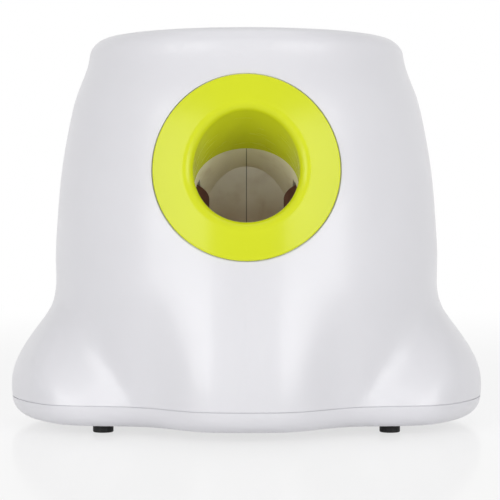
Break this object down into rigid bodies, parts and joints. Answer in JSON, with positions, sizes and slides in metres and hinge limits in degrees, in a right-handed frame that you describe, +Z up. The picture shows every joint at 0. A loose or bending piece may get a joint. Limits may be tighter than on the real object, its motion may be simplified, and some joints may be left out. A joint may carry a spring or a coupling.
{
  "type": "automatic dog ball launcher",
  "caption": "Automatic ball launcher for small dogs: white lobed body, lime launch ring, open hopper, flywheels, feeder, buttons and battery door.",
  "frame": {"origin": "on the floor under the middle of the body", "axes": "+Z up, -Y out of the front where the ball leaves, +X to the right seen from the front"},
  "size_m": [0.2752, 0.2442, 0.224],
  "materials": {
    "white_plastic": "glossy",
    "lime_plastic": "glossy",
    "chute_plastic": "satin",
    "grey_plastic": "satin",
    "tyre_rubber": "matte",
    "foot_rubber": "matte",
    "motor_steel": "satin",
    "screw_steel": "satin",
    "brass": "satin",
    "gear_nylon": "satin",
    "board_green": "glossy",
    "component_black": "satin",
    "cell_label": "glossy",
    "lens_clear": "clear"
  },
  "bodies": {
    "housing": {"battery_box": "grey_plastic", "battery_cells": "cell_label", "battery_plates": "motor_steel", "battery_springs": "motor_steel", "board_components": "component_black", "board_screws": "screw_steel", "board_spacers": "brass", "buzzer": "component_black", "chute_left": "chute_plastic", "chute_right": "chute_plastic", "chute_screws": "screw_steel", "control_board": "board_green", "control_panel": "grey_plastic", "dc_jack": "component_black", "dc_jack_nut": "motor_steel", "dc_jack_pin": "brass", "feeder_bracket": "grey_plastic", "feeder_gearbox": "brass", "feeder_motor": "motor_steel", "feeder_pin": "motor_steel", "hopper_funnel": "white_plastic", "housing_screws": "screw_steel", "indicator_lenses": "lens_clear", "launch_ring": "lime_plastic", "lower_housing": "white_plastic", "main_board": "board_green", "motor_can_left": "motor_steel", "motor_can_right": "motor_steel", "motor_cradle_left": "grey_plastic", "motor_cradle_right": "grey_plastic", "motor_endcap_left": "grey_plastic", "motor_endcap_right": "grey_plastic", "motor_screws": "screw_steel", "rubber_feet": "foot_rubber", "sensor_emitter": "component_black", "sensor_receiver": "component_black", "tact_switches": "component_black", "upper_housing": "white_plastic"},
    "flywheel_left": {"flywheel_hub_left": "grey_plastic", "flywheel_tyre_left": "tyre_rubber", "motor_shaft_left": "motor_steel"},
    "flywheel_right": {"flywheel_hub_right": "grey_plastic", "flywheel_tyre_right": "tyre_rubber", "motor_shaft_right": "motor_steel"},
    "feeder": {"feeder_arm": "gear_nylon", "feeder_gear": "gear_nylon"},
    "pinion": {"feeder_pinion": "gear_nylon", "feeder_shaft": "motor_steel"},
    "power_key": {"power_button": "lime_plastic"},
    "distance_key": {"distance_button": "grey_plastic"},
    "door": {"battery_door": "white_plastic"}
  },
  "joints": [
    {"name": "flywheel_left_spin", "type": "hinge", "parent": "housing", "child": "flywheel_left", "pos_m": [-0.047, -0.05013, 0.12245], "axis": [0, 0.4226, 0.9063], "continuous": true},
    {"name": "flywheel_right_spin", "type": "hinge", "parent": "housing", "child": "flywheel_right", "pos_m": [0.047, -0.05013, 0.12245], "axis": [0, 0.4226, 0.9063], "continuous": true},
    {"name": "feeder_swing", "type": "hinge", "parent": "housing", "child": "feeder", "pos_m": [0, -0.01275, 0.0622], "axis": [1, 0, 0], "range_deg": [0, 35]},
    {"name": "feeder_pinion_spin", "type": "hinge", "parent": "housing", "child": "pinion", "pos_m": [0, 0.00613, 0.0513], "axis": [1, 0, 0], "range_deg": [-105, 0]},
    {"name": "power_button_press", "type": "slide", "parent": "housing", "child": "power_key", "axis": [0, -1, 0], "range_m": [0, 0.0015], "stiffness_N_per_m": 200},
    {"name": "distance_button_press", "type": "slide", "parent": "housing", "child": "distance_key", "axis": [0, -1, 0], "range_m": [0, 0.0015], "stiffness_N_per_m": 200},
    {"name": "battery_door_swing", "type": "hinge", "parent": "housing", "child": "door", "pos_m": [0, -0.0387, 0.0064], "axis": [-1, 0, 0], "range_deg": [0, 100]}
  ],
  "couplings": [
    {"joint": "feeder_pinion_spin", "follows": "feeder_swing", "ratio": -3}
  ]
}
